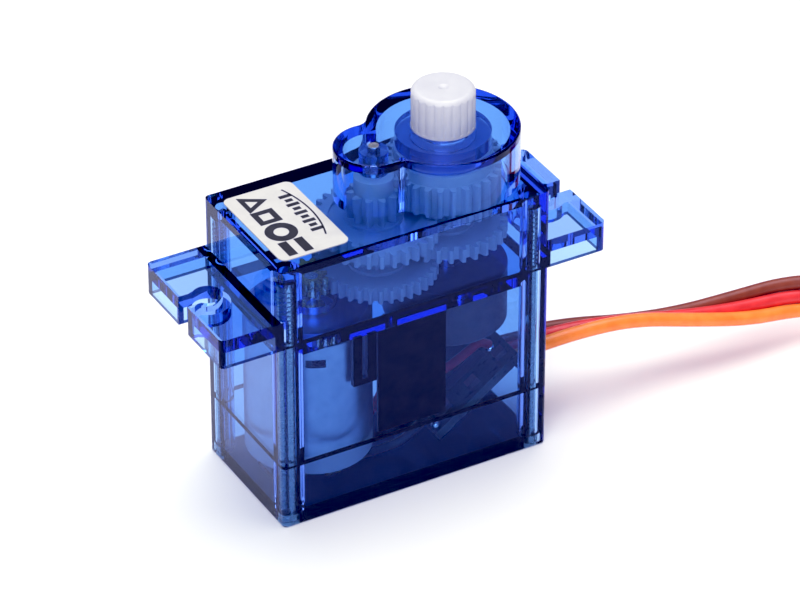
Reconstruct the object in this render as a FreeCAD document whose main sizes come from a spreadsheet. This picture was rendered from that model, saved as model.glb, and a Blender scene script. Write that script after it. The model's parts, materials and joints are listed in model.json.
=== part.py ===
"""A nine-gram hobby servo in a clear blue case, built piece by piece as it is assembled.

Frame: millimetres, +Z up along the output shaft. The origin is the centre of the case's underside.
+X runs along the case towards the output shaft and the cable, and +Y across it.
"""
import FreeCAD, Part
import math
import os
import re
import Sketcher
from FreeCAD import Placement, Rotation, Vector

# ---------------------------------------------------------------- driving dimensions
SIZES = {
    # case, in three shells that the screws clamp together
    "case_length": 22.6, "case_width": 11.9, "case_top": 22.7, "lower_split": 5.3, "upper_split": 16.0,
    "end_wall": 0.8, "side_wall": 0.9, "floor_thick": 1.0, "roof_thick": 1.0, "deck_thick": 1.3,
    "corner_round": 0.4, "rim_round": 0.18,
    # mounting flanges, cored out from below, each with a hole that opens outwards through a slot
    "flange_span": 32.4, "flange_width": 11.9, "flange_thick": 2.45, "flange_corner": 0.45,
    "flange_plate": 1.35, "flange_wall": 0.6, "mount_pitch": 28.4, "mount_hole": 1.15, "mount_slot": 1.5,
    # the three vertical axes
    "output_x": 5.55, "idler_x": -0.3, "motor_x": -5.8,
    # boss over the gears
    "boss_top": 27.05, "boss_radius": 5.75, "boss_bore": 4.95, "nose_radius": 3.02, "nose_bore": 2.25,
    "waist_round": 1.1, "boss_roof": 1.0, "collar_radius": 3.6, "collar_drop": 1.05,
    # against the front wall: a slotted clip beside the motor and a sheet before the potentiometer
    "clip_x": -4.1, "clip_length": 1.95, "clip_slot": 0.45, "clip_deep": 0.4, "clip_low": 10.4,
    "clip_foot": 0.5, "sheet_x_low": -3.0, "sheet_x_high": 2.75, "sheet_thick": 0.25, "sheet_low": 5.6,
    # the motor's two cradles in the bottom cover
    "cradle_x": 3.0, "cradle_thick": 0.8, "cradle_width": 2.2,
    # screws and the columns they run in
    "screw_x": 10.25, "screw_y": 4.9, "column_radius": 1.0, "screw_pass": 0.65, "screw_grip": 0.57,
    "screw_sink": 0.87, "screw_head": 0.8, "screw_head_low": 0.15, "screw_head_high": 0.92,
    "screw_shank": 0.47, "thread_crest": 0.55, "thread_root": 0.42, "thread_start": 16.4,
    "thread_end": 21.2, "thread_pitch": 0.4,
    # label
    "label_x_low": -10.5, "label_x_high": -4.8, "label_y": 4.7, "label_thick": 0.08, "label_corner": 0.6,
    # motor
    "can_radius": 4.5, "can_wall": 0.3, "can_low": 4.4, "can_high": 14.5, "cap_low": 2.7, "spigot_top": 5.2,
    "can_slot_low": 12.4, "can_slot_high": 13.1, "can_slot_width": 1.5, "can_turn": -25,
    "bush_height": 1.1,
    "terminal_y": 2.9, "terminal_width": 1.2, "terminal_thick": 0.3, "brush_y": 1.04, "brush_thick": 0.2,
    "bush_radius": 1.0, "motor_shaft_radius": 0.5, "running_gap": 0.03, "core_low": 6.7, "core_high": 12.5,
    "core_radius": 3.1, "magnet_inner": 3.35, "magnet_outer": 4.2, "winding_over": 0.5,
    "pinion_low": 16.15, "pinion_high": 17.6,
    # gears, from the deck up
    "idler_radius": 0.5, "arbor_radius": 0.6,
    "first_low": 16.3, "first_high": 17.4, "first_top": 19.2,
    "second_low": 18.0, "second_high": 19.1, "second_top": 20.7,
    "third_low": 19.4, "third_high": 20.5, "third_pinion": 23.4, "third_top": 24.7, "third_hub": 1.5,
    "output_low": 21.0, "output_high": 24.0, "hub_top": 24.85, "hub_radius": 3.7,
    "spline_radius": 2.4, "spline_low": 27.2, "spline_top": 30.24, "spline_depth": 0.07,
    "spline_round": 0.45, "key_length": 1.8, "dimple_depth": 0.12,
    # potentiometer under the deck
    "pot_radius": 4.7, "pot_wall": 0.5, "pot_low": 10.6, "pot_rim": 14.0, "pot_top": 14.6, "pot_floor": 0.6,
    "pot_shaft": 1.0, "pot_pin_x": 3.4, "pot_pin_pitch": 2.2, "track_outer": 3.7, "track_inner": 2.5,
    # control board, leaning up towards the cable
    "board_x": 6.5, "board_z": 4.75, "board_lean": 35.3, "board_length": 8.8, "board_width": 7.2,
    "board_thick": 0.8,
    # cable
    "wire_width": 1.05, "wire_pitch": 1.15, "lead_width": 0.7, "cable_z": 5.4, "gland_width": 3.5,
    "gland_height": 1.2, "plug_length": 14.0, "plug_width": 7.6, "plug_height": 2.5, "plug_x": 83.0,
    "plug_low": 0.05, "contact_pitch": 2.54, "contact_width": 0.8, "contact_start": 3.2,
    # the put-away middle of the cable: seven runs folded side by side, with teardrop loops at both ends
    "hank_x": 56.0, "hank_low": 0.42, "hank_high": 3.88, "hank_pitch": 1.25, "hank_half": 7.6,
    "hank_loop": 5.9, "hank_eye": 2.2, "tie_width": 2.5, "tie_thick": 0.4,
}
WORD = re.compile(r"[a-z][a-z_]*")

doc = FreeCAD.newDocument("HobbyServo")
sheet = doc.addObject("Spreadsheet::Sheet", "Sizes")
for row, (alias, number) in enumerate(SIZES.items(), start=1):
    sheet.set(f"A{row}", alias)
    sheet.set(f"B{row}", str(number))
    sheet.setAlias(f"B{row}", alias)
doc.recompute()


def size(name):
    """A driving dimension as the sheet holds it."""
    return float(sheet.get(name))


def formula(text):
    """An expression over the sheet's names, such as case_length / 2."""
    return WORD.sub(lambda word: "Sizes." + word.group(0), text)


# ---------------------------------------------------------------- sketches and features
def new_body(label):
    body = doc.addObject("PartDesign::Body", label)
    body.Label = label
    return body


def new_sketch(body, lift="0", role="XY_Plane"):
    """A sketch on one of the body's own planes, lifted along the plane's normal."""
    sketch = body.newObject("Sketcher::SketchObject", body.Name + "_sketch")
    plane = next(f for f in body.Origin.OriginFeatures if f.Role == role)
    sketch.AttachmentSupport = [(plane, "")]
    sketch.MapMode = "FlatFace"
    sketch.setExpression("AttachmentOffset.Base.z", formula(lift))
    return sketch


def pin_point(sketch, piece, point, x, y):
    """Holds one point of the sketch at x and y, each an expression."""
    for axis_name, text, own_axis in (("DistanceX", x, -2), ("DistanceY", y, -1)):
        if text == "0":
            sketch.addConstraint(Sketcher.Constraint("PointOnObject", piece, point, own_axis))
            continue
        index = sketch.addConstraint(Sketcher.Constraint(axis_name, -1, 1, piece, point, 1.0))
        sketch.setExpression(f"Constraints[{index}]", formula(text))


def polygon(sketch, points):
    """A closed outline of straight lines through points, each a pair of expressions."""
    count = len(points)
    start = [Vector(2 + math.cos(2 * math.pi * i / count), 2 + math.sin(2 * math.pi * i / count), 0)
             for i in range(count)]
    lines = [sketch.addGeometry(Part.LineSegment(start[i], start[(i + 1) % count]), False)
             for i in range(count)]
    for i in range(count):
        sketch.addConstraint(Sketcher.Constraint("Coincident", lines[i - 1], 2, lines[i], 1))
    for line, (x, y) in zip(lines, points):
        pin_point(sketch, line, 1, x, y)


def rectangle(sketch, x_low, x_high, y_low, y_high):
    polygon(sketch, [(x_low, y_low), (x_high, y_low), (x_high, y_high), (x_low, y_high)])


def centred(sketch, length, width):
    """A rectangle about the sketch's origin."""
    rectangle(sketch, f"-({length}) / 2", f"({length}) / 2", f"-({width}) / 2", f"({width}) / 2")


def circle(sketch, x, y, radius):
    index = sketch.addGeometry(Part.Circle(Vector(1, 1, 0), Vector(0, 0, 1), 1.0), False)
    pin_point(sketch, index, 3, x, y)
    index = sketch.addConstraint(Sketcher.Constraint("Radius", index, 1.0))
    sketch.setExpression(f"Constraints[{index}]", formula(radius))


def corners(sketch, radius):
    """A circle at each of the four screws."""
    for side_x in ("screw_x", "-screw_x"):
        for side_y in ("screw_y", "-screw_y"):
            circle(sketch, side_x, side_y, radius)


def pad(body, sketch, length):
    """Grows the sketch along its normal."""
    feature = body.newObject("PartDesign::Pad", body.Name + "_pad")
    feature.Profile = sketch
    feature.setExpression("Length", formula(length))
    body.Tip = feature
    doc.recompute()
    return feature


def pocket(body, sketch, length):
    """Cuts the sketch out along its normal, and stops the build if nothing was cut."""
    before = body.Shape.Volume
    feature = body.newObject("PartDesign::Pocket", body.Name + "_pocket")
    feature.Profile = sketch
    feature.Reversed = True
    feature.setExpression("Length", formula(length))
    body.Tip = feature
    doc.recompute()
    if body.Shape.Volume > before - 1e-6:
        raise RuntimeError(f"a pocket of {body.Label} cut nothing")
    return feature


def fillet(body, radius, wanted):
    """Rounds the edges of the body for which wanted(edge) is true."""
    tip = body.Tip
    names = [f"Edge{i}" for i, edge in enumerate(tip.Shape.Edges, start=1) if wanted(edge)]
    if not names:
        raise RuntimeError(f"a fillet of {body.Label} found no edge")
    feature = body.newObject("PartDesign::Fillet", body.Name + "_fillet")
    feature.Base = (tip, names)
    feature.setExpression("Radius", formula(radius))
    body.Tip = feature
    doc.recompute()


def upright(edge, x, y, slack=0.02):
    """Whether an edge is a vertical line at |x| and |y|."""
    box = edge.BoundBox
    flat = box.XLength < slack and box.YLength < slack
    return flat and abs(abs(box.Center.x) - x) < slack and abs(abs(box.Center.y) - y) < slack


def turned(label, profile, x="0", y="0"):
    """A body of revolution about a vertical axis, from (radius, height) expressions."""
    body = new_body(label)
    sketch = new_sketch(body, role="XZ_Plane")
    polygon(sketch, profile)
    feature = body.newObject("PartDesign::Revolution", label + "_turn")
    feature.Profile = sketch
    feature.ReferenceAxis = (sketch, ["V_Axis"])
    feature.Angle = 360
    body.Tip = feature
    body.setExpression("Placement.Base.x", formula(x))
    body.setExpression("Placement.Base.y", formula(y))
    doc.recompute()
    return body


def ring(label, outer, inner, low, high, x="0", y="0"):
    return turned(label, [(inner, low), (outer, low), (outer, high), (inner, high)], x, y)


def block(label, x_low, x_high, y_low, y_high, low, high):
    """A plain rectangular piece."""
    body = new_body(label)
    sketch = new_sketch(body, low)
    rectangle(sketch, x_low, x_high, y_low, y_high)
    pad(body, sketch, f"({high}) - ({low})")
    return body


def group(label, members):
    """Several like pieces that share one node."""
    compound = doc.addObject("Part::Compound", label)
    compound.Label = label
    compound.Links = members
    doc.recompute()
    return compound


def shaped(label, shape, placement=None):
    """A piece whose outline comes from a formula or a swept path."""
    feature = doc.addObject("Part::Feature", label)
    feature.Label = label
    feature.Shape = shape
    if placement is not None:
        feature.Placement = placement.multiply(shape.Placement)
    return feature


# ---------------------------------------------------------------- case
def cavity(body, low, height):
    """Hollows a shell and puts back the four screw columns."""
    sketch = new_sketch(body, low)
    centred(sketch, "case_length - 2 * end_wall", "case_width - 2 * side_wall")
    pocket(body, sketch, height)
    sketch = new_sketch(body, low)
    corners(sketch, "column_radius")
    pad(body, sketch, height)


def gland_notch(body, low, high):
    """The part of the cable's way out that one shell holds."""
    sketch = new_sketch(body, low)
    rectangle(sketch, "case_length / 2 - 2 * end_wall", "case_length / 2 + end_wall",
              "-gland_width / 2", "gland_width / 2")
    pocket(body, sketch, f"({high}) - ({low})")


def case_block(label, low, high):
    """The plain outer block of one shell, with its upright corners rounded."""
    body = new_body(label)
    sketch = new_sketch(body, low)
    centred(sketch, "case_length", "case_width")
    pad(body, sketch, f"({high}) - ({low})")
    return body


def case_corner(edge):
    return upright(edge, size("case_length") / 2, size("case_width") / 2)


def core_flanges(body):
    """Hollows both flanges from below, and leaves a wall around each hole and along its slot."""
    height = "flange_thick - flange_plate"
    inner, outer = "case_length / 2 + 0.3", "flange_span / 2 - flange_wall"
    side = "flange_width / 2 - flange_wall"
    for sign in ("", "-"):
        sketch = new_sketch(body, "upper_split")
        rectangle(sketch, f"{sign}({inner})", f"{sign}({outer})", f"-({side})", side)
        pocket(body, sketch, height)
        sketch = new_sketch(body, "upper_split")
        circle(sketch, f"{sign}mount_pitch / 2", "0", "mount_hole + flange_wall")
        pad(body, sketch, height)
        sketch = new_sketch(body, "upper_split")
        rectangle(sketch, f"{sign}(mount_pitch / 2 + mount_hole / 2)", f"{sign}({outer} + flange_wall / 2)",
                  "-(mount_slot / 2 + flange_wall)", "mount_slot / 2 + flange_wall")
        pad(body, sketch, height)


def make_top_case():
    body = case_block("top_case", "upper_split", "case_top")
    fillet(body, "corner_round", case_corner)
    sketch = new_sketch(body, "upper_split")
    centred(sketch, "flange_span", "flange_width")
    pad(body, sketch, "flange_thick")
    flange_end, flange_side = size("flange_span") / 2, size("flange_width") / 2
    fillet(body, "flange_corner", lambda edge: upright(edge, flange_end, flange_side))
    core_flanges(body)
    for x, radius in (("output_x", "boss_radius"), ("idler_x", "nose_radius")):
        sketch = new_sketch(body, "upper_split + 1")
        circle(sketch, x, "0", radius)
        pad(body, sketch, "boss_top - upper_split - 1")

    # the waist where the two round bosses meet, and the rims of the boss and the lid
    reach, nose, gap = size("boss_radius"), size("nose_radius"), size("output_x") - size("idler_x")
    along = (gap ** 2 + nose ** 2 - reach ** 2) / (2 * gap)
    waist_x, waist_y = size("idler_x") + along, math.sqrt(nose ** 2 - along ** 2)
    fillet(body, "waist_round",
           lambda edge: upright(edge, abs(waist_x), waist_y) and edge.BoundBox.ZMax > size("case_top") + 1)
    boss_top = size("boss_top")
    fillet(body, "rim_round", lambda edge: edge.BoundBox.ZMin > boss_top - 0.01)

    cavity(body, "upper_split", "case_top - roof_thick - upper_split")
    sketch = new_sketch(body, "upper_split")
    circle(sketch, "output_x", "0", "boss_bore")
    pocket(body, sketch, "boss_top - boss_roof - upper_split")
    sketch = new_sketch(body, "upper_split")
    circle(sketch, "idler_x", "0", "nose_bore")
    pocket(body, sketch, "boss_top - boss_roof - upper_split")
    for x, radius in (("output_x", "collar_radius"), ("idler_x", "2.2 * idler_radius")):
        sketch = new_sketch(body, "boss_top - boss_roof - collar_drop")
        circle(sketch, x, "0", radius)
        pad(body, sketch, "collar_drop")
    sketch = new_sketch(body, "boss_top - boss_roof - collar_drop")
    circle(sketch, "output_x", "0", "spline_radius + 2 * running_gap")
    pocket(body, sketch, "boss_roof + collar_drop")
    sketch = new_sketch(body, "boss_top - boss_roof - collar_drop")
    circle(sketch, "idler_x", "0", "idler_radius")
    pocket(body, sketch, "boss_roof + collar_drop")

    sketch = new_sketch(body, "upper_split")
    corners(sketch, "screw_grip")
    pocket(body, sketch, "thread_end + 0.1 - upper_split")
    for side in ("", "-"):
        sketch = new_sketch(body, "upper_split")
        circle(sketch, f"{side}mount_pitch / 2", "0", "mount_hole")
        pocket(body, sketch, "flange_thick")
        sketch = new_sketch(body, "upper_split")
        rectangle(sketch, f"{side}mount_pitch / 2", f"{side}(flange_span / 2 + 1)",
                  "-mount_slot / 2", "mount_slot / 2")
        pocket(body, sketch, "flange_thick")
    return body


def make_middle_case():
    body = case_block("middle_case", "lower_split", "upper_split")
    fillet(body, "corner_round", case_corner)
    cavity(body, "lower_split", "upper_split - deck_thick - lower_split")
    sketch = new_sketch(body, "lower_split")
    corners(sketch, "screw_pass")
    pocket(body, sketch, "upper_split - lower_split")

    # holes in the deck for the motor's nose, the potentiometer's shaft and the foot of the idler pin
    sketch = new_sketch(body, "upper_split - deck_thick")
    circle(sketch, "motor_x", "0", "bush_radius + 0.9")
    circle(sketch, "output_x", "0", "pot_shaft + 0.1")
    pocket(body, sketch, "deck_thick")
    sketch = new_sketch(body, "upper_split - 1")
    circle(sketch, "idler_x", "0", "idler_radius")
    pocket(body, sketch, "1")

    gland_notch(body, "lower_split", "cable_z + gland_height / 2")
    return body


def make_fillers():
    """The slotted clip and the insulating sheet, which stand between the front wall and what is behind."""
    wall, under_deck = "(side_wall - case_width / 2)", "upper_split - deck_thick"
    clip = new_body("wire_clip")
    sketch = new_sketch(clip, "clip_low")
    rectangle(sketch, "clip_x - clip_length / 2", "clip_x + clip_length / 2", wall, f"{wall} + clip_deep")
    pad(clip, sketch, f"{under_deck} - clip_low")
    sketch = new_sketch(clip, "clip_low + clip_foot")
    rectangle(sketch, "clip_x - clip_slot / 2", "clip_x + clip_slot / 2",
              f"{wall} - 1", f"{wall} + clip_deep + 1")
    pocket(clip, sketch, f"{under_deck} - clip_low")
    sheet = block("insulating_sheet", "sheet_x_low", "sheet_x_high", wall, f"{wall} + sheet_thick",
                  "sheet_low", f"{under_deck} - 0.05")
    return [clip, sheet]


def make_bottom_cover():
    body = case_block("bottom_cover", "0", "lower_split")
    fillet(body, "corner_round", case_corner)
    fillet(body, "rim_round", lambda edge: edge.BoundBox.ZMax < 0.01)
    cavity(body, "floor_thick", "lower_split - floor_thick")
    sketch = new_sketch(body, "0")
    corners(sketch, "screw_sink")
    pocket(body, sketch, "screw_head_high")
    sketch = new_sketch(body, "0")
    corners(sketch, "screw_pass")
    pocket(body, sketch, "lower_split")
    sketch = new_sketch(body, "floor_thick")
    for middle in ("motor_x - cradle_x", "motor_x + cradle_x"):
        rectangle(sketch, f"{middle} - cradle_thick / 2", f"{middle} + cradle_thick / 2",
                  "-cradle_width / 2", "cradle_width / 2")
    pad(body, sketch, "cap_low - floor_thick")
    gland_notch(body, "cable_z - gland_height / 2", "lower_split")
    return body


def make_screw(label, x, y):
    """A long self-tapping screw: a pan head with a cross slot, a plain shank and a ringed thread."""
    crest, root, pitch = size("thread_crest"), size("thread_root"), size("thread_pitch")
    start, end = size("thread_start"), size("thread_end")
    low, high = size("screw_head_low"), size("screw_head_high")
    head, shank = size("screw_head"), size("screw_shank")
    profile = [(0, low), (head - 0.12, low), (head, low + 0.12), (head, high), (shank, high), (shank, start)]
    turns = int((end - start - 0.4) / pitch)
    for turn in range(turns):
        level = start + turn * pitch
        profile += [(root, level + 0.2 * pitch), (crest, level + 0.6 * pitch), (root, level + pitch)]
    profile.append((0, end))
    points = [Vector(radius, 0, level) for radius, level in profile]
    face = Part.Face(Part.makePolygon(points + points[:1]))
    solid = face.revolve(Vector(0, 0, 0), Vector(0, 0, 1), 360)
    for angle in (0, 90):
        slot = Part.makeBox(1.0, 0.22, 0.35, Vector(-0.5, -0.11, low))
        slot.rotate(Vector(0, 0, 0), Vector(0, 0, 1), angle + 45)
        solid = solid.cut(slot)
    return shaped(label, solid, Placement(Vector(x, y, 0), Rotation()))


def make_screws():
    along, across = size("screw_x"), size("screw_y")
    places = [(-along, -across), (-along, across), (along, -across), (along, across)]
    return group("case_screws", [make_screw(f"case_screw_{i}", x, y) for i, (x, y) in enumerate(places, 1)])


def make_label():
    body = block("label", "label_x_low", "label_x_high", "-label_y", "label_y", "case_top",
                 "case_top + label_thick")
    fillet(body, "label_corner", lambda edge: edge.BoundBox.XLength < 0.01 and edge.BoundBox.YLength < 0.01)
    return body


# ---------------------------------------------------------------- gears
PRESSURE = math.radians(20)
STUB = 0.85        # addendum, in modules
SHIFT = 0.35       # pinions are made this much fatter and their wheels thinner, in modules
BOTTOM_GAP = 0.15  # clearance under a mating tooth, in modules
THINNING = 0.03    # taken off each tooth for backlash
FINE, COARSE = 0.25, 0.3  # module of the motor's pinion and its wheel, and of the other pairs


def involute(angle):
    return math.tan(angle) - angle


def tooth_flank(teeth, module, shift):
    """(radius, half angle of the tooth) from the root to the tip of one flank."""
    pitch_radius = teeth * module / 2
    base = pitch_radius * math.cos(PRESSURE)
    tip = pitch_radius + (STUB + shift) * module
    root = pitch_radius - (STUB - shift + BOTTOM_GAP) * module
    half = (math.pi / 2 + 2 * shift * math.tan(PRESSURE)) / teeth - THINNING / 2 / pitch_radius
    half += involute(PRESSURE)
    start = max(base, root)
    radii = [start + (tip - start) * step / 3 for step in range(4)]
    flank = [(radius, half - involute(math.acos(min(1, base / radius)))) for radius in radii]
    if root < base:
        flank.insert(0, (root, flank[0][1]))
    return flank


def gear_outline(teeth, module, shift, first_tooth):
    """The toothed outline, with one tooth centred on the angle first_tooth, in degrees."""
    flank = tooth_flank(teeth, module, shift)
    points = []
    for tooth in range(teeth):
        middle = math.radians(first_tooth) + 2 * math.pi * tooth / teeth
        rising = [(radius, middle - half) for radius, half in flank]
        falling = [(radius, middle + half) for radius, half in reversed(flank)]
        points += [Vector(radius * math.cos(a), radius * math.sin(a), 0) for radius, a in rising + falling]
    return points


def toothed(teeth, module, shift, first_tooth, low, high):
    """A straight-cut toothed disc between two heights."""
    points = gear_outline(teeth, module, shift, first_tooth)
    face = Part.Face(Part.makePolygon(points + points[:1]))
    return face.extrude(Vector(0, 0, high - low)).translated(Vector(0, 0, low))


def disc(radius, low, high):
    return Part.makeCylinder(radius, high - low, Vector(0, 0, low))


def wheel_tooth(teeth):
    """Where a wheel's first tooth is, so that a gap faces the pinion on the line between their axes."""
    return 180 / teeth


def wheel_and_pinion(label, wheel, pinion, levels, bore, x, hub=0):
    """One moulded gear: a wide wheel below its pinion, free on a pin, with an optional hub on top."""
    low, middle, pinion_top, top = (size(level) for level in levels)
    teeth, module = wheel
    pinion_teeth, pinion_module, pinion_tooth = pinion
    solid = toothed(teeth, module, -SHIFT, wheel_tooth(teeth), low, middle)
    rim, hub_ring, relief = teeth * module / 2 - 1.1, 2.2, 0.25
    solid = solid.cut(disc(rim, middle - relief, middle).cut(disc(hub_ring, middle - relief, middle)))
    solid = solid.fuse(toothed(pinion_teeth, pinion_module, SHIFT, pinion_tooth, middle, pinion_top))
    if hub:
        solid = solid.fuse(disc(hub, pinion_top, top))
    solid = solid.cut(disc(bore + size("running_gap"), low, top))
    return shaped(label, solid.removeSplitter(), Placement(Vector(x, 0, 0), Rotation()))


def make_gears():
    """The three gears between the motor and the output, from the deck up."""
    idler, output = size("idler_x"), size("output_x")
    first = wheel_and_pinion("first_gear", (36, FINE), (9, COARSE, 0),
                             ("first_low", "first_high", "first_top", "first_top"),
                             size("idler_radius"), idler)
    second = wheel_and_pinion("second_gear", (30, COARSE), (9, COARSE, 180),
                              ("second_low", "second_high", "second_top", "second_top"),
                              size("arbor_radius"), output)
    third = wheel_and_pinion("third_gear", (30, COARSE), (11, COARSE, 0),
                             ("third_low", "third_high", "third_pinion", "third_top"),
                             size("idler_radius"), idler, hub=size("third_hub"))
    return [first, second, third]


KEY_FLAT = 0.7  # how far the arbor's flat is from its axis, as a share of its radius


def keyed_end(radius, low, high):
    """The round end of the arbor with one flat, which turns with the output gear."""
    return disc(radius, low, high).cut(Part.makeBox(2, 4, high - low, Vector(KEY_FLAT * radius, -2, low)))


def spline_outline(radius, depth, teeth):
    """Fine vertical splines, as rounded ridges and sharp valleys."""
    points = []
    for tooth in range(teeth):
        for share, level in ((0.0, depth), (0.25, 0.015), (0.5, 0.0), (0.75, 0.015)):
            angle = 2 * math.pi * (tooth + share) / teeth
            points.append(Vector((radius - level) * math.cos(angle), (radius - level) * math.sin(angle), 0))
    return points


def make_output_gear():
    """The last wheel, its hub and the splined shaft that comes out of the boss, in one moulding."""
    low, high, hub_top = size("output_low"), size("output_high"), size("hub_top")
    spline_low, top, radius = size("spline_low"), size("spline_top"), size("spline_radius")
    solid = toothed(28, COARSE, -SHIFT, wheel_tooth(28), low, high)
    solid = solid.fuse(disc(size("hub_radius"), high, hub_top))
    solid = solid.fuse(disc(radius, hub_top, spline_low))
    points = spline_outline(radius, size("spline_depth"), 21)
    splines = Part.Face(Part.makePolygon(points + points[:1])).extrude(Vector(0, 0, top - spline_low))
    splines.translate(Vector(0, 0, spline_low))
    rounded = disc(radius, spline_low - 1, top)
    rounded = rounded.makeFillet(size("spline_round"),
                                 [edge for edge in rounded.Edges if edge.BoundBox.ZMin > top - 0.01])
    solid = solid.fuse(splines.common(rounded))
    sunk = size("dimple_depth")
    dimple = Part.makeCone(0.12, 0.42, sunk, Vector(0, 0, top - sunk))
    key = keyed_end(size("arbor_radius"), low, low + size("key_length"))
    solid = solid.cut(dimple).cut(key)
    centre = Placement(Vector(size("output_x"), 0, 0), Rotation())
    return shaped("output_gear", solid.removeSplitter(), centre)


def make_idler_pin():
    return turned("idler_pin", [("0", "upper_split - 1"), ("idler_radius", "upper_split - 1"),
                                ("idler_radius", "boss_top - 0.16"),
                                ("idler_radius - 0.1", "boss_top - 0.06"), ("0", "boss_top - 0.06")],
                  "idler_x")


# ---------------------------------------------------------------- motor
def make_motor_shell():
    can = turned("motor_can", [
        ("can_radius - can_wall", "can_low"), ("can_radius", "can_low"), ("can_radius", "can_high - 0.35"),
        ("can_radius - 0.35", "can_high"), ("bush_radius", "can_high"),
        ("bush_radius", "can_high - can_wall"), ("can_radius - can_wall", "can_high - can_wall")], "motor_x")
    sketch = new_sketch(can, "can_slot_low")
    rectangle(sketch, "-can_slot_width / 2", "can_slot_width / 2", "-can_radius - 1", "can_radius + 1")
    pocket(can, sketch, "can_slot_high - can_slot_low")
    can.setExpression("Placement.Rotation.Angle", formula("can_turn"))
    doc.recompute()
    cap = turned("motor_end_cap", [
        ("bush_radius - 0.4", "cap_low"), ("can_radius - 0.2", "cap_low"), ("can_radius", "cap_low + 0.2"),
        ("can_radius", "can_low"), ("can_radius - can_wall", "can_low"),
        ("can_radius - can_wall", "spigot_top"), ("can_radius - 1.2", "spigot_top"),
        ("can_radius - 1.2", "can_low"), ("bush_radius", "can_low"),
        ("bush_radius", "can_low - bush_height"), ("bush_radius - 0.4", "can_low - bush_height")], "motor_x")
    sketch = new_sketch(cap, "cap_low")
    for side in ("", "-"):
        rectangle(sketch, "-terminal_width / 2", "terminal_width / 2",
                  f"{side}terminal_y", f"{side}(terminal_y + terminal_thick)")
    pocket(cap, sketch, "1")
    front = ring("motor_front_bushing", "bush_radius", "motor_shaft_radius + running_gap", "can_high - 0.7",
                 "can_high + 0.5", "motor_x")
    rear = ring("motor_rear_bushing", "bush_radius", "motor_shaft_radius + running_gap",
                "can_low - bush_height", "can_low", "motor_x")
    terminals = group("motor_terminals", [
        block(f"motor_terminal_{i}", "motor_x - terminal_width / 2", "motor_x + terminal_width / 2",
              f"{side}terminal_y", f"{side}(terminal_y + terminal_thick)", "cap_low - 1.1", "cap_low + 1")
        for i, side in enumerate(("", "-"), 1)])
    brushes = group("motor_brushes", [
        block(f"motor_brush_{i}", "motor_x - 1.7", "motor_x + 0.6", f"{side}brush_y",
              f"{side}(brush_y + brush_thick)", "can_low", "core_low - winding_over - 0.15")
        for i, side in enumerate(("", "-"), 1)])
    return [can, cap, front, rear, terminals, brushes]


def make_magnets():
    """Two curved magnets against the inside of the can."""
    low, height = size("spigot_top") + 0.4, size("can_high") - size("spigot_top") - 1.4
    centre = Placement(Vector(size("motor_x"), 0, 0), Rotation())
    radius = size("magnet_outer") - 0.01
    magnets = []
    for i, start in enumerate((-62, 118), 1):
        outer = Part.makeCylinder(radius, height, Vector(0, 0, low), Vector(0, 0, 1), 124)
        magnet = outer.cut(disc(size("magnet_inner"), low - 1, low + height + 1))
        magnet.rotate(Vector(0, 0, 0), Vector(0, 0, 1), start)
        magnets.append(shaped(f"motor_magnet_{i}", magnet, centre))
    return group("motor_magnets", magnets)


def make_rotor():
    """Shaft, pinion, three-pole core, its three windings and the commutator."""
    x, axle = size("motor_x"), size("motor_shaft_radius")
    low, high, reach = size("core_low"), size("core_high"), size("core_radius")
    centre = Placement(Vector(x, 0, 0), Rotation())
    shaft = turned("motor_shaft", [("0", "can_low - 1.05"), ("motor_shaft_radius", "can_low - 1.05"),
                                   ("motor_shaft_radius", "pinion_high"), ("0", "pinion_high")], "motor_x")
    pinion = toothed(8, 0.25, SHIFT, 0, size("pinion_low"), size("pinion_high"))
    pinion = shaped("motor_pinion", pinion.cut(disc(axle, 0, 30)), centre)
    core = disc(1.1, low, high)
    windings = []
    over = size("winding_over")
    for pole in range(3):
        arm = Part.makeBox(reach - 0.3, 0.9, high - low, Vector(0, -0.45, low))
        shoe = Part.makeCylinder(reach, high - low, Vector(0, 0, low), Vector(0, 0, 1), 92)
        shoe = shoe.cut(disc(reach - 0.55, low - 1, high + 1))
        shoe.rotate(Vector(0, 0, 0), Vector(0, 0, 1), -46)
        coil = Part.makeBox(0.95, 2.1, high - low + 2 * over, Vector(1.25, -1.05, low - over))
        coil = coil.common(disc(reach - 0.6, low - 1, high + 1))
        coil = coil.cut(Part.makeBox(3, 0.9, high - low, Vector(0, -0.45, low)))
        for piece in (arm, shoe, coil):
            piece.rotate(Vector(0, 0, 0), Vector(0, 0, 1), 120 * pole)
        core = core.fuse(arm).fuse(shoe)
        windings.append(shaped(f"armature_winding_{pole + 1}", coil, centre))
    core = shaped("armature_core", core.cut(disc(axle, 0, 30)).removeSplitter(), centre)
    commutator = ring("commutator", "bush_radius", "motor_shaft_radius", "can_low + 0.15",
                      "core_low - winding_over - 0.1", "motor_x")
    return [shaft, pinion, core, group("armature_windings", windings), commutator]


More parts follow.
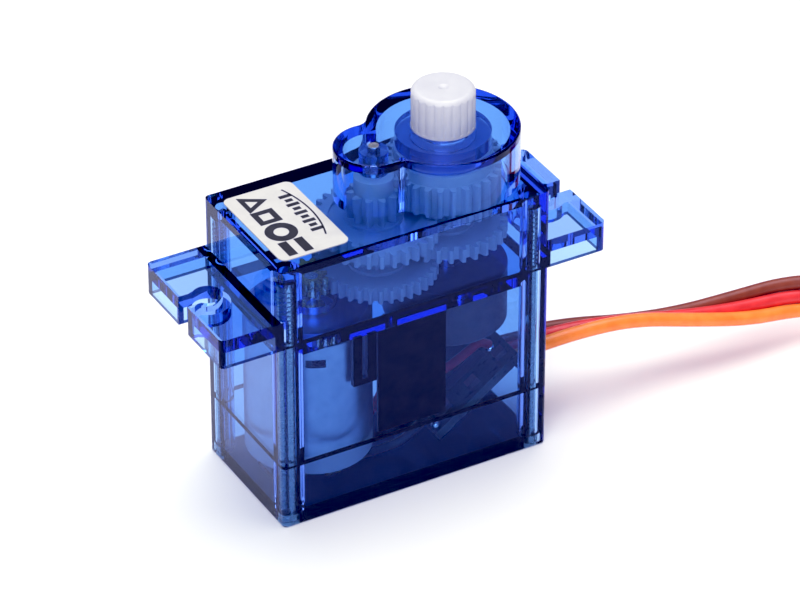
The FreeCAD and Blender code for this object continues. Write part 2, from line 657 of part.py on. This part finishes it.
# ---------------------------------------------------------------- potentiometer
def make_potentiometer():
    body = turned("potentiometer_body", [
        ("pot_shaft + 0.05", "pot_low"), ("pot_radius - 0.15", "pot_low"), ("pot_radius", "pot_low + 0.15"),
        ("pot_radius", "pot_rim"), ("pot_radius - pot_wall", "pot_rim"),
        ("pot_radius - pot_wall", "pot_low + pot_floor"), ("pot_shaft + 0.05", "pot_low + pot_floor")],
        "output_x")
    cover = ring("potentiometer_cover", "pot_radius", "pot_shaft + 0.05", "pot_rim", "pot_top", "output_x")
    shaft = turned("potentiometer_shaft", [
        ("0", "pot_low - 0.3"), ("pot_shaft", "pot_low - 0.3"), ("pot_shaft", "second_low - 0.05"),
        ("arbor_radius", "second_low - 0.05"), ("arbor_radius", "output_low + key_length"),
        ("0", "output_low + key_length")], "output_x")
    sketch = new_sketch(shaft, "output_low")
    rectangle(sketch, f"{KEY_FLAT} * arbor_radius", f"{KEY_FLAT} * arbor_radius + 2", "-2", "2")
    pocket(shaft, sketch, "key_length")
    floor = size("pot_low") + size("pot_floor")
    track = Part.makeCylinder(size("track_outer"), 0.1, Vector(0, 0, floor), Vector(0, 0, 1), 280)
    track = track.cut(disc(size("track_inner"), floor - 1, floor + 1))
    track.rotate(Vector(0, 0, 0), Vector(0, 0, 1), 40)
    centre = Placement(Vector(size("output_x"), 0, 0), Rotation())
    track = shaped("potentiometer_track", track, centre)
    wiper = disc(1.7, floor + 0.5, floor + 0.7)
    finger = Part.makeBox(3.3, 0.8, 0.2, Vector(-3.6, -0.4, floor + 0.5))
    tip = Part.makeBox(0.5, 0.8, 0.37, Vector(-3.6, -0.4, floor + 0.13))
    wiper = wiper.fuse([finger, tip]).cut(disc(size("pot_shaft"), 0, 30)).removeSplitter()
    wiper = shaped("potentiometer_wiper", wiper, centre)
    terminals = group("potentiometer_terminals", [
        block(f"potentiometer_terminal_{i}", "output_x - pot_pin_x", "output_x - pot_pin_x + 0.3",
              f"{y} - 0.4", f"{y} + 0.4", "pot_low - 1.6", "pot_low")
        for i, y in enumerate(("-pot_pin_pitch", "0", "pot_pin_pitch"), 1)])
    return [body, cover, shaft, track, wiper, terminals]


# ---------------------------------------------------------------- control board
def board_placement():
    """The board's leaning place, for shapes that are made in its own flat frame."""
    lean = Rotation(Vector(0, 1, 0), -size("board_lean"))
    return Placement(Vector(size("board_x"), 0, size("board_z")), lean)


def board_chip(label, x, y, length, width, height, side=1):
    """A small rectangular component standing on the board's upper or lower face."""
    rise = size("board_thick") / 2
    low = rise if side > 0 else -rise - height
    shape = Part.makeBox(length, width, height, Vector(x - length / 2, y - width / 2, low))
    return shaped(label, shape, board_placement())


def make_electronics():
    length, width, thick = size("board_length"), size("board_width"), size("board_thick")
    plate = Part.makeBox(length, width, thick, Vector(-length / 2, -width / 2, -thick / 2))
    board = shaped("control_board", plate, board_placement())
    chip = board_chip("control_chip", 0.6, 0.2, 3.9, 3.0, 1.0)
    small = [(-2.6, -2.4, 1.5), (-2.6, 0.9, 1.0), (3.4, -2.4, 1.0), (3.4, 2.2, 1.4), (0.4, -2.6, 1.0)]
    parts = group("board_components", [
        board_chip(f"board_component_{i}", x, y, reach, 0.7, 0.5)
        for i, (x, y, reach) in enumerate(small, 1)])
    blobs = []
    places = [(2.7, y * size("wire_pitch"), -1) for y in (-1, 0, 1)]
    places += [(-3.8, -2.9, 1), (-3.8, 2.9, 1), (3.2, -1.2, 1), (3.2, 0, 1), (3.2, 1.2, 1)]
    for i, (x, y, side) in enumerate(places, 1):
        ball = Part.makeSphere(0.4, Vector(x, y, side * thick / 2)).cut(plate)
        blobs.append(shaped(f"solder_joint_{i}", ball, board_placement()))
    return [board, chip, parts, group("solder_joints", blobs)]


# ---------------------------------------------------------------- wires
def rounded_path(points):
    """Straight runs joined by tangent arcs, each as large as its two runs allow, and their radii."""
    edges, radii, here = [], [], points[0]
    for before, corner, after in zip(points, points[1:], points[2:]):
        inwards, outwards = (corner - before), (after - corner)
        shorter = min(inwards.Length, outwards.Length)
        turn = inwards.getAngle(outwards)
        cut = 0.45 * shorter
        radii.append(cut / math.tan(turn / 2))
        inwards.normalize()
        outwards.normalize()
        start, end = corner - inwards * cut, corner + outwards * cut
        to_middle = (outwards - inwards).normalize()
        sagitta = radii[-1] * (1 / math.cos(turn / 2) - 1)
        edges.append(Part.LineSegment(here, start).toShape())
        edges.append(Part.Arc(start, corner + to_middle * sagitta, end).toShape())
        here = end
    edges.append(Part.LineSegment(here, points[-1]).toShape())
    return Part.Wire(edges), radii


def tube(points, width, name):
    """A round wire along a route, checked against its section times its length."""
    points = [Vector(*point) for point in points]
    path, radii = rounded_path(points)
    section = Part.Wire(Part.Circle(points[0], points[1] - points[0], width / 2).toShape())
    pipe = Part.BRepOffsetAPI.MakePipeShell(path)
    pipe.add(section)
    pipe.build()
    pipe.makeSolid()
    solid = pipe.shape()
    expected = math.pi * width ** 2 / 4 * path.Length
    share = solid.Volume / expected
    print(f"{name}: {path.Length:.1f} long, tightest {min(radii):.1f}, volume ratio {share:.4f}")
    if abs(share - 1) > 0.02:
        raise RuntimeError(f"{name} lost its section")
    return solid


# centre of the flat three-wire cable: x, y, z and the roll of the cable's width, in degrees, from
# lying flat with the brown wire on the +Y side, to standing on edge with the brown wire uppermost
CABLE_OUT = [
    (9.0, 0.0, 5.40, 0), (12.7, -0.08, 5.42, -2), (17.0, -0.75, 5.65, -18), (21.5, -1.15, 5.05, -34),
    (26.3, -1.80, 4.20, -16), (31.2, -2.30, 3.65, 20), (35.8, -2.40, 3.35, 48), (40.2, -3.90, 2.95, 72),
    (45.0, -6.15, 2.15, 90), (50.8, -6.35, 2.15, 90), (54.0, -3.75, 2.15, 90),
]
# the same for the tail that leaves the hank for the plug, where the wires also spread apart
CABLE_TAIL = [
    (58.0, 3.75, 2.15, 90, 1.0), (61.2, 6.35, 2.15, 90, 1.0), (66.8, 6.30, 2.10, 85, 1.0),
    (71.8, 4.90, 1.85, 60, 1.15), (75.4, 2.20, 1.50, 25, 1.6), (79.0, 0.30, 1.30, 4, 2.1),
    (83.0, 0.0, 1.30, 0, 2.21),
]
WIRES = {"ground_wire": 1, "power_wire": 0, "signal_wire": -1}
HANK_RUNS = 7


def wire_route(ribbon, lane):
    """One wire's centre line beside the cable's, by its lane of -1, 0 or 1."""
    route = []
    for x, y, z, roll, *spread in ribbon:
        offset, turn = lane * size("wire_pitch") * (spread[0] if spread else 1), math.radians(roll)
        route.append((x, y + offset * math.cos(turn), z + offset * math.sin(turn)))
    return route


def make_cable():
    """The three wires where they run free, the tied hank between the two stretches, and its tie."""
    pieces = []
    width = size("wire_width")
    for name, lane in WIRES.items():
        out = shaped(name + "_out", tube(wire_route(CABLE_OUT, lane), width, name))
        tail = shaped(name + "_tail", tube(wire_route(CABLE_TAIL, lane), width, name + " tail"))
        pieces.append(group(name, [out, tail]))

    low, high, pitch, thick = size("hank_low"), size("hank_high"), size("hank_pitch"), size("tie_thick")
    middle = Placement(Vector(size("hank_x"), 0, 0), Rotation())
    half_length, half_width = size("hank_half"), (HANK_RUNS - 1) / 2 * pitch + width / 2
    hank = Part.makeBox(2 * half_length, 2 * half_width, high - low, Vector(-half_length, -half_width, low))
    for side in (-1, 1):
        centre = Vector(side * half_length, -side * pitch / 2, low)
        loop = Part.makeCylinder(size("hank_loop"), high - low, centre)
        hank = hank.fuse(loop).cut(Part.makeCylinder(size("hank_eye"), high - low, centre))
    pieces.append(shaped("cable_hank", hank.removeSplitter(), middle))

    gap, half = 0.03, size("tie_width") / 2
    inner = Part.makeBox(2 * half, 2 * (half_width + gap), high + gap - thick,
                         Vector(-half, -half_width - gap, thick))
    tie = Part.makeBox(2 * half, 2 * (half_width + gap + thick), high + gap + thick,
                       Vector(-half, -half_width - gap - thick, 0)).cut(inner)
    pieces.append(shaped("cable_tie", tie, middle))
    return pieces


def make_plug():
    """The three-way connector: a housing with a lane and a window for each contact, and the contacts."""
    length, width, height = size("plug_length"), size("plug_width"), size("plug_height")
    low, start, across = size("plug_low"), size("contact_start"), size("contact_width")
    wall, slack = 0.07, 0.05
    middle = Placement(Vector(size("plug_x"), 0, 0), Rotation())
    housing = Part.makeBox(length, width, height, Vector(0, -width / 2, low))
    housing = housing.makeFillet(0.25, [e for e in housing.Edges if abs(e.Length - length) < 0.01])
    contacts = []
    for i, lane in enumerate((-1, 0, 1), 1):
        corner = Vector(start, lane * size("contact_pitch") - across / 2, low + height / 2 - across / 2)
        room, hole = Vector(slack, slack, slack), across + 2 * slack
        housing = housing.cut(Part.makeBox(length, hole, hole, corner - room))
        housing = housing.cut(Part.makeBox(1.6, hole, height, corner + Vector(3.0, -slack, across)))
        contact = Part.makeBox(length - start - 1.3, across, across, corner)
        bore = across - 2 * wall
        contacts.append(shaped(f"plug_contact_{i}", contact.cut(
            Part.makeBox(length, bore, bore, corner + Vector(2.8, wall, wall))), middle))
    return [shaped("plug_housing", housing, middle), group("plug_contacts", contacts)]


# leads inside the case, each from its own solder joint
LEADS = {
    "motor_lead_red": [(-5.8, 2.0, 1.75), (-3.6, 1.7, 1.5), (-1.4, 1.9, 1.45), (0.6, 2.3, 1.9),
                       (1.6, 2.7, 3.1), (2.5, 2.9, 3.9)],
    "motor_lead_black": [(-5.8, -2.0, 1.75), (-3.6, -1.7, 1.5), (-1.4, -1.9, 1.45), (0.6, -2.3, 1.9),
                         (1.6, -2.7, 3.1), (2.5, -2.9, 3.9)],
    "potentiometer_lead_red": [(1.75, -2.2, 9.5), (1.5, -2.4, 8.5), (2.3, -2.7, 7.6), (4.0, -2.5, 7.3),
                               (6.0, -2.0, 7.7), (7.7, -1.5, 8.1), (8.7, -1.25, 7.4)],
    "potentiometer_lead_white": [(1.75, 0.0, 9.5), (1.3, 0.1, 8.6), (2.0, 0.3, 7.8), (3.8, 0.4, 7.8),
                                 (5.9, 0.3, 8.3), (7.8, 0.1, 8.3), (8.7, 0.0, 7.45)],
    "potentiometer_lead_black": [(1.75, 2.2, 9.5), (1.5, 2.4, 8.5), (2.3, 2.7, 7.6), (4.0, 2.5, 7.3),
                                 (6.0, 2.1, 7.7), (7.7, 1.5, 8.1), (8.7, 1.25, 7.4)],
}


def make_leads():
    return [shaped(name, tube(route, size("lead_width"), name)) for name, route in LEADS.items()]


# ---------------------------------------------------------------- assembly
def main():
    pieces = [make_top_case(), make_middle_case(), make_bottom_cover(), make_screws(), make_label()]
    pieces += make_fillers() + make_gears()
    pieces += [make_output_gear(), make_idler_pin()]
    pieces += make_motor_shell()
    pieces.append(make_magnets())
    pieces += make_rotor()
    pieces += make_potentiometer()
    pieces += make_electronics()
    pieces += make_leads()
    pieces += make_cable()
    pieces += make_plug()
    doc.recompute()

    for item in doc.Objects:
        if {"Invalid", "Error"} & set(item.State):
            raise RuntimeError(f"{item.Label} is {item.State}")
    for piece in pieces:
        if piece.Shape.isNull() or not piece.Shape.isValid() or not piece.Shape.Solids:
            raise RuntimeError(f"{piece.Label} has no valid solid")

    os.makedirs("parts", exist_ok=True)
    for piece in pieces:
        piece.Shape.exportStep(os.path.join("parts", piece.Label + ".step"))
    print(f"{len(pieces)} pieces written")


main()
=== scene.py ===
"""The looks of a clear-cased hobby servo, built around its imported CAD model. Lengths are in metres."""
import json
import math

import bmesh
import bpy
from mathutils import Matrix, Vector


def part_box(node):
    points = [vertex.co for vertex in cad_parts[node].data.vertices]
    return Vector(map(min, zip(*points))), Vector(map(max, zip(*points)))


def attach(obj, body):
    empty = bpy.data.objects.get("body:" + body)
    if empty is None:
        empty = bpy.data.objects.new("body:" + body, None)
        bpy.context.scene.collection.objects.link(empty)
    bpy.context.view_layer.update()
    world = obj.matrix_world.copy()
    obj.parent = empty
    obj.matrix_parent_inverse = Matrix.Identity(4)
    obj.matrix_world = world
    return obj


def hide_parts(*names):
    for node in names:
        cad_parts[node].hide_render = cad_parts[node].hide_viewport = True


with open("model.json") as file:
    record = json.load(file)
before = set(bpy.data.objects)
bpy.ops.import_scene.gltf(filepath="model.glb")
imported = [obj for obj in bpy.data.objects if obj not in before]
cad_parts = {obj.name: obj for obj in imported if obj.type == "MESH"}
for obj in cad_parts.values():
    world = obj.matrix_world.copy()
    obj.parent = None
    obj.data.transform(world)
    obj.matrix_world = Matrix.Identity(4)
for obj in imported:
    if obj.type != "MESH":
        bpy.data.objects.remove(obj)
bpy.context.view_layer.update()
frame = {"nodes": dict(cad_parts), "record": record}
MM = 0.001


# ---------------------------------------------------------------- camera
CAMERA_AZIMUTH, CAMERA_ELEVATION = math.radians(-29.43), math.radians(33.73)
CAMERA_DISTANCE, CAMERA_LENS, SENSOR_WIDTH = 0.3578, 215.2, 36.0
CAMERA_TARGET = Vector((0.001918, 0.0, 0.012679))


def make_camera():
    """A long lens from the front left, looking down on the servo."""
    back = Vector((math.sin(CAMERA_AZIMUTH) * math.cos(CAMERA_ELEVATION),
                   -math.cos(CAMERA_AZIMUTH) * math.cos(CAMERA_ELEVATION), math.sin(CAMERA_ELEVATION)))
    data = bpy.data.cameras.new("camera")
    data.lens, data.sensor_width = CAMERA_LENS, SENSOR_WIDTH
    data.clip_start, data.clip_end = 0.01, 10.0
    camera = bpy.data.objects.new("camera", data)
    bpy.context.collection.objects.link(camera)
    camera.location = CAMERA_TARGET + back * CAMERA_DISTANCE
    camera.rotation_mode = "QUATERNION"
    camera.rotation_quaternion = (-back).to_track_quat("-Z", "Y")
    bpy.context.scene.camera = camera


make_camera()


# ---------------------------------------------------------------- cable
WIRE_DIAMETER, WIRE_PITCH, WIRE_LENGTH = 1.1 * MM, 1.15 * MM, 250 * MM
WIRES = {"ground_wire": 1, "power_wire": 0, "signal_wire": -1}
WIRE_SLOTS = {"ground_wire": "brown_pvc", "power_wire": "red_pvc", "signal_wire": "orange_pvc"}
# centre of the flat three-wire cable, as in the CAD model: x, y, z in millimetres, and the roll of its
# width in degrees, from lying flat with the brown wire on the +Y side, to standing on edge with the
# brown wire uppermost
CABLE_OUT = [
    (9.0, 0.0, 5.40, 0), (12.7, -0.08, 5.42, -2), (17.0, -0.75, 5.65, -18), (21.5, -1.15, 5.05, -34),
    (26.3, -1.80, 4.20, -16), (31.2, -2.30, 3.65, 20), (35.8, -2.40, 3.35, 48), (40.2, -3.90, 2.95, 72),
    (45.0, -6.15, 2.15, 90), (50.8, -6.35, 2.15, 90), (54.0, -3.75, 2.15, 90),
]
# the tail from the hank to the plug, where the wires also spread apart
CABLE_TAIL = [
    (58.0, 3.75, 2.15, 90, 1.0), (61.2, 6.35, 2.15, 90, 1.0), (66.8, 6.30, 2.10, 85, 1.0),
    (71.8, 4.90, 1.85, 60, 1.15), (75.4, 2.20, 1.50, 25, 1.6), (79.0, 0.30, 1.30, 4, 2.1),
    (83.0, 0.0, 1.30, 0, 2.21),
]
# the put-away length, on edge and folded back and forth: the place of each run in the order that the
# cable takes them, and the teardrop loops, nested at each end, that join one run to the next
HANK_X, HANK_Z, HANK_PITCH, HANK_HALF, HANK_WAIST, HANK_EYE = 56.0, 2.15, 1.25, 7.6, 2.0, 2.8
HANK_RUNS = (-3, 2, -1, 0, 1, -2, 3)
LOOP_ANGLES = (-105, -63, -21, 21, 63, 105)


def hank_ribbon():
    """The cable's centre in the hank, without its two ends, which the stretches outside it hold."""
    # the loops' control points stand outside the curve, which touches the middle of each of their sides
    swell = 1 / math.cos(math.radians((LOOP_ANGLES[1] - LOOP_ANGLES[0]) / 2))
    points = []
    for i, (run, following) in enumerate(zip(HANK_RUNS, HANK_RUNS[1:] + (None,))):
        ahead = 1 if i % 2 == 0 else -1
        points += [(HANK_X + side * ahead * HANK_WAIST, run * HANK_PITCH) for side in (-1, 1)]
        if following is None:
            break
        nested = (abs(following - run) - 1) / 2
        radius, rise = (HANK_EYE + nested * HANK_PITCH) * swell, math.copysign(1, following - run)
        middle = (run + following) / 2 * HANK_PITCH
        for angle in map(math.radians, LOOP_ANGLES):
            points.append((HANK_X + ahead * (HANK_HALF + radius * math.cos(angle)),
                           middle + rise * radius * math.sin(angle)))
    return [(x, y, HANK_Z, 90) for x, y in points[1:-1]]


def wire_route(lane):
    """One wire's control points beside the cable's centre, by its lane of -1, 0 or 1."""
    route = []
    for x, y, z, roll, *apart in CABLE_OUT + hank_ribbon() + CABLE_TAIL:
        offset = lane * WIRE_PITCH / MM * (apart[0] if apart else 1)
        turn = math.radians(roll)
        route.append(Vector((x, y + offset * math.cos(turn), z + offset * math.sin(turn))) * MM)
    return route


def make_wire(name, lane):
    """A round wire as one smooth curve along its route."""
    curve = bpy.data.curves.new(name + "_cord", "CURVE")
    curve.dimensions = "3D"
    spline = curve.splines.new("NURBS")
    route = wire_route(lane)
    spline.points.add(len(route) - 1)
    for point, place in zip(spline.points, route):
        point.co = (*place, 1)
        point.radius = WIRE_DIAMETER / 2
    spline.order_u = 3
    spline.use_endpoint_u = True
    spline.resolution_u = 6
    curve.bevel_depth = 1.0  # times each point's radius
    curve.bevel_resolution = 5
    curve.use_fill_caps = True
    wire = bpy.data.objects.new(name + "_cord", curve)
    bpy.context.collection.objects.link(wire)
    return wire


wires = {name: make_wire(name, lane) for name, lane in WIRES.items()}
for name, wire in wires.items():
    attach(wire, "case")
    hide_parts(name)
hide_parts("cable_hank")


# ---------------------------------------------------------------- materials
NOISE_LOW, NOISE_HIGH = 0.3, 0.7  # the part of noise's range that it nearly always keeps to
NOISE_DETAIL = 3.0
GRAIN = 6000  # fine relief, in features per metre


def shader(name):
    """A new node material, its node tree and its Principled shader."""
    material = bpy.data.materials.new(name)
    material.use_nodes = True
    tree = material.node_tree
    return material, tree, tree.nodes["Principled BSDF"]


def noise(tree, scale, stretch=(1, 1, 1)):
    """Noise in the piece's own coordinates. The scale is in features per metre."""
    coordinates = tree.nodes.new("ShaderNodeTexCoord")
    mapping = tree.nodes.new("ShaderNodeMapping")
    mapping.inputs["Scale"].default_value = stretch
    texture = tree.nodes.new("ShaderNodeTexNoise")
    texture.inputs["Scale"].default_value = scale
    texture.inputs["Detail"].default_value = NOISE_DETAIL
    tree.links.new(coordinates.outputs["Object"], mapping.inputs["Vector"])
    tree.links.new(mapping.outputs["Vector"], texture.inputs["Vector"])
    return texture.outputs["Fac"]


def ramp(tree, factor, low, high):
    """A colour that runs from low to high as the factor rises."""
    node = tree.nodes.new("ShaderNodeValToRGB")
    for element, place, colour in zip(node.color_ramp.elements, (NOISE_LOW, NOISE_HIGH), (low, high)):
        element.position = place
        element.color = (*colour, 1)
    tree.links.new(factor, node.inputs["Fac"])
    return node.outputs["Color"]


def spread(tree, factor, low, high):
    """A number that runs from low to high as the factor rises."""
    node = tree.nodes.new("ShaderNodeMapRange")
    node.inputs["From Min"].default_value = NOISE_LOW
    node.inputs["From Max"].default_value = NOISE_HIGH
    node.inputs["To Min"].default_value = low
    node.inputs["To Max"].default_value = high
    tree.links.new(factor, node.inputs["Value"])
    return node.outputs["Result"]


def bump(tree, principled, factor, depth, strength=0.4):
    """Fine relief, of a depth in metres."""
    node = tree.nodes.new("ShaderNodeBump")
    node.inputs["Strength"].default_value = strength
    node.inputs["Distance"].default_value = depth
    tree.links.new(factor, node.inputs["Height"])
    tree.links.new(node.outputs["Normal"], principled.inputs["Normal"])


def solid_look(name, low, high, rough, scale=900, metallic=0.0, depth=0.01 * MM, stretch=(1, 1, 1)):
    """An opaque material whose colour, gloss and fine relief all vary a little."""
    material, tree, principled = shader(name)
    broad = noise(tree, scale)
    tree.links.new(ramp(tree, broad, low, high), principled.inputs["Base Color"])
    tree.links.new(spread(tree, noise(tree, scale * 2.3), *rough), principled.inputs["Roughness"])
    principled.inputs["Metallic"].default_value = metallic
    bump(tree, principled, noise(tree, GRAIN, stretch=stretch), depth)
    return material


def clear_look():
    """Clear tinted plastic: a tint at each surface, and a deeper blue the further light goes through."""
    material, tree, principled = shader("clear_blue_plastic")
    principled.inputs["Base Color"].default_value = (0.54, 0.80, 1.0, 1)
    principled.inputs["Transmission Weight"].default_value = 1.0
    principled.inputs["IOR"].default_value = 1.46
    principled.inputs["Specular Tint"].default_value = (0.22, 0.30, 0.9, 1)
    tree.links.new(spread(tree, noise(tree, 500), 0.0, 0.03), principled.inputs["Roughness"])
    bump(tree, principled, noise(tree, 260), 0.02 * MM, 0.15)
    absorption = tree.nodes.new("ShaderNodeVolumeAbsorption")
    absorption.inputs["Color"].default_value = (0.0, 0.255, 0.93, 1)
    absorption.inputs["Density"].default_value = 375
    tree.links.new(absorption.outputs["Volume"], tree.nodes["Material Output"].inputs["Volume"])
    return material


def nylon_look():
    """White moulded nylon, which light soaks into a little."""
    material = solid_look("white_nylon", (0.55, 0.55, 0.58), (0.60, 0.60, 0.63), (0.32, 0.5), scale=700,
                          depth=0.006 * MM)
    principled = material.node_tree.nodes["Principled BSDF"]
    principled.inputs["Subsurface Weight"].default_value = 0.25
    principled.inputs["Subsurface Radius"].default_value = (0.6, 0.6, 0.7)
    principled.inputs["Subsurface Scale"].default_value = 1.0 * MM
    return material


def make_looks():
    """Every material, by the record's slot name."""
    brushed = (1, 1, 14)
    return {
        "clear_blue": clear_look(),
        "white_nylon": nylon_look(),
        "steel": solid_look("drawn_steel", (0.55, 0.56, 0.58), (0.68, 0.69, 0.71), (0.18, 0.32), metallic=1.0,
                            depth=0.004 * MM),
        # screws: plated steel with its colour darkened, as painted shade for the dark surroundings they
        # reflect
        "zinc_screw": solid_look("zinc_steel_with_painted_shade", (0.22, 0.24, 0.27), (0.31, 0.33, 0.35), (0.2, 0.35),
                                 metallic=1.0, depth=0.004 * MM),
        "can_steel": solid_look("nickel_plated_can", (0.38, 0.42, 0.48), (0.46, 0.50, 0.56), (0.30, 0.45),
                                metallic=1.0, depth=0.006 * MM, stretch=brushed),
        "brass": solid_look("turned_brass", (0.66, 0.46, 0.16), (0.80, 0.60, 0.26), (0.2, 0.35), metallic=1.0,
                            depth=0.004 * MM),
        "copper": solid_look("enamelled_copper", (0.50, 0.17, 0.07), (0.70, 0.30, 0.13), (0.22, 0.4),
                             metallic=1.0, depth=0.02 * MM, stretch=brushed),
        "magnet": solid_look("ferrite", (0.05, 0.05, 0.055), (0.09, 0.09, 0.095), (0.55, 0.75)),
        "black_plastic": solid_look("black_moulding", (0.012, 0.012, 0.014), (0.028, 0.028, 0.030),
                                    (0.3, 0.5)),
        "grey_phenolic": solid_look("dark_resin", (0.075, 0.048, 0.045), (0.11, 0.068, 0.062), (0.4, 0.6),
                                    depth=0.003 * MM),
        "carbon_track": solid_look("carbon_film", (0.01, 0.01, 0.01), (0.03, 0.03, 0.03), (0.5, 0.7)),
        "board_green": solid_look("solder_mask", (0.010, 0.030, 0.024), (0.018, 0.048, 0.036), (0.25, 0.4)),
        "solder": solid_look("bright_solder", (0.70, 0.70, 0.72), (0.86, 0.86, 0.87), (0.1, 0.25),
                             metallic=1.0),
        "label_paper": solid_look("label_paper", (0.55, 0.54, 0.49), (0.60, 0.59, 0.54), (0.35, 0.5),
                                  depth=0.004 * MM),
        "brown_pvc": solid_look("brown_insulation", (0.19, 0.028, 0.007), (0.25, 0.044, 0.013), (0.32, 0.48)),
        "red_pvc": solid_look("red_insulation", (0.62, 0.022, 0.018), (0.76, 0.040, 0.030), (0.3, 0.45)),
        "orange_pvc": solid_look("orange_insulation", (0.90, 0.20, 0.018), (1.0, 0.27, 0.035), (0.3, 0.45)),
        "white_pvc": solid_look("white_insulation", (0.75, 0.75, 0.73), (0.85, 0.85, 0.83), (0.3, 0.45)),
    }


looks = make_looks()
for part in frame["record"]["subparts"]:
    node = frame["nodes"][part["node"]]
    node.data.materials.clear()
    node.data.materials.append(looks[part["material_slot"]])
for name, slot in WIRE_SLOTS.items():
    wires[name].data.materials.append(looks[slot])


# ---------------------------------------------------------------- printing on the label
INK_LIFT = 0.012 * MM
# in millimetres: how far in from the label's outer end each row stands, and the sizes of its signs
SIGN_ROW, STROKE_ROW = 1.85, 4.35
SIGN_SIZE, SIGN_STROKE, FINE_STROKE = 0.95, 0.78, 0.38


def bar(mesh, x, y, level, length, width):
    """A printed rectangle, its length along X."""
    corners = ((-1, -1), (1, -1), (1, 1), (-1, 1))
    mesh.faces.new([mesh.verts.new((x + i * length / 2, y + j * width / 2, level)) for i, j in corners])


def band(mesh, x, y, level, radius, width, start, end, steps):
    """A printed arc, or with few steps the outline of a regular polygon."""
    rims = []
    for i in range(steps + 1):
        angle = math.radians(start + (end - start) * i / steps)
        rims.append([mesh.verts.new((x + reach * math.cos(angle), y + reach * math.sin(angle), level))
                     for reach in (radius - width / 2, radius + width / 2)])
    for (inner, outer), (inner_next, outer_next) in zip(rims, rims[1:]):
        mesh.faces.new((inner, outer, outer_next, inner_next))


def make_label_print():
    """Four bold signs in a row, and a finer row under a thin arc, in black ink."""
    low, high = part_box("label")
    centre_y, level = (low[1] + high[1]) / 2, high[2] + INK_LIFT
    mesh = bmesh.new()
    x, size, stroke = low[0] + SIGN_ROW * MM, SIGN_SIZE * MM, SIGN_STROKE * MM
    band(mesh, x - 0.15 * MM, centre_y + 3.2 * MM, level, size, stroke, 0, 360, 3)
    band(mesh, x, centre_y + 1.1 * MM, level, size, stroke * 0.85, 45, 405, 4)
    band(mesh, x, centre_y - 1.2 * MM, level, 0.90 * MM, stroke * 0.85, 0, 360, 28)
    for side in (-1, 1):
        bar(mesh, x + side * 0.65 * MM, centre_y - 3.4 * MM, level, 0.72 * MM, 1.9 * MM)
    x = low[0] + STROKE_ROW * MM
    for i in range(9):
        offset = (2.9 - 0.62 * i) * MM
        bar(mesh, x, centre_y + offset, level, (1.0, 0.6)[i % 2] * MM, FINE_STROKE * MM)
    band(mesh, x - 9.2 * MM, centre_y + 0.4 * MM, level, 10.0 * MM, 0.14 * MM, -20, 20, 20)
    data = bpy.data.meshes.new("label_print")
    mesh.normal_update()
    mesh.to_mesh(data)
    mesh.free()
    ink = bpy.data.objects.new("label_print", data)
    bpy.context.collection.objects.link(ink)
    data.materials.append(solid_look("black_ink", (0.008, 0.008, 0.009), (0.02, 0.02, 0.022), (0.3, 0.45)))
    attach(ink, "case")


make_label_print()


# ---------------------------------------------------------------- floor and light
FLOOR_HALF, SKY_STRENGTH = 1.5, 0.24
# each soft box's place and size in metres, and its watts
SOFT_BOXES = {"overhead_box": ((0.06, 0.12, 0.62), 0.62, 4.7), "front_box": ((-0.30, -0.45, 0.40), 0.50, 3.0)}


def make_floor():
    """A plain white sweep of table."""
    mesh = bmesh.new()
    bmesh.ops.create_grid(mesh, x_segments=1, y_segments=1, size=FLOOR_HALF)
    data = bpy.data.meshes.new("floor")
    mesh.to_mesh(data)
    mesh.free()
    floor = bpy.data.objects.new("floor", data)
    bpy.context.collection.objects.link(floor)
    material, tree, principled = shader("floor_white")
    tree.links.new(ramp(tree, noise(tree, 4), (0.93, 0.93, 0.94), (0.95, 0.95, 0.955)),
                   principled.inputs["Base Color"])
    principled.inputs["Roughness"].default_value = 0.6
    data.materials.append(material)


def make_light(name, place, size, watts):
    """A square soft box aimed at the origin."""
    data = bpy.data.lights.new(name, "AREA")
    data.shape, data.size, data.energy = "SQUARE", size, watts
    light = bpy.data.objects.new(name, data)
    bpy.context.collection.objects.link(light)
    light.location = place
    light.rotation_mode = "QUATERNION"
    light.rotation_quaternion = (-Vector(place)).to_track_quat("-Z", "Y")


def make_surroundings():
    """An even white studio."""
    world = bpy.data.worlds.new("studio")
    world.use_nodes = True
    background = world.node_tree.nodes["Background"]
    background.inputs["Color"].default_value = (1.0, 1.0, 1.0, 1)
    background.inputs["Strength"].default_value = SKY_STRENGTH
    bpy.context.scene.world = world
    for name, (place, size, watts) in SOFT_BOXES.items():
        make_light(name, place, size, watts)


make_floor()
make_surroundings()


# ---------------------------------------------------------------- colour grade and light paths
BLACK_LEVEL = (0.014, 0.014, 0.003)
BLUE_CURVE, BLUE_LIFT = 2, ((0.10, 0.125), (0.30, 0.385), (0.60, 0.68))
MANY_BOUNCES = 24  # light crosses many walls of clear plastic


def set_grade_and_paths():
    """A small lift of the blues, with deeper blacks, and light that gets through every clear wall."""
    view, cycles = bpy.context.scene.view_settings, bpy.context.scene.cycles
    view.view_transform = "Standard"
    view.use_curve_mapping = True
    view.curve_mapping.black_level = BLACK_LEVEL
    for place, level in BLUE_LIFT:
        view.curve_mapping.curves[BLUE_CURVE].points.new(place, level)
    view.curve_mapping.update()
    cycles.max_bounces = cycles.transmission_bounces = cycles.transparent_max_bounces = MANY_BOUNCES
    cycles.diffuse_bounces = 8


set_grade_and_paths()
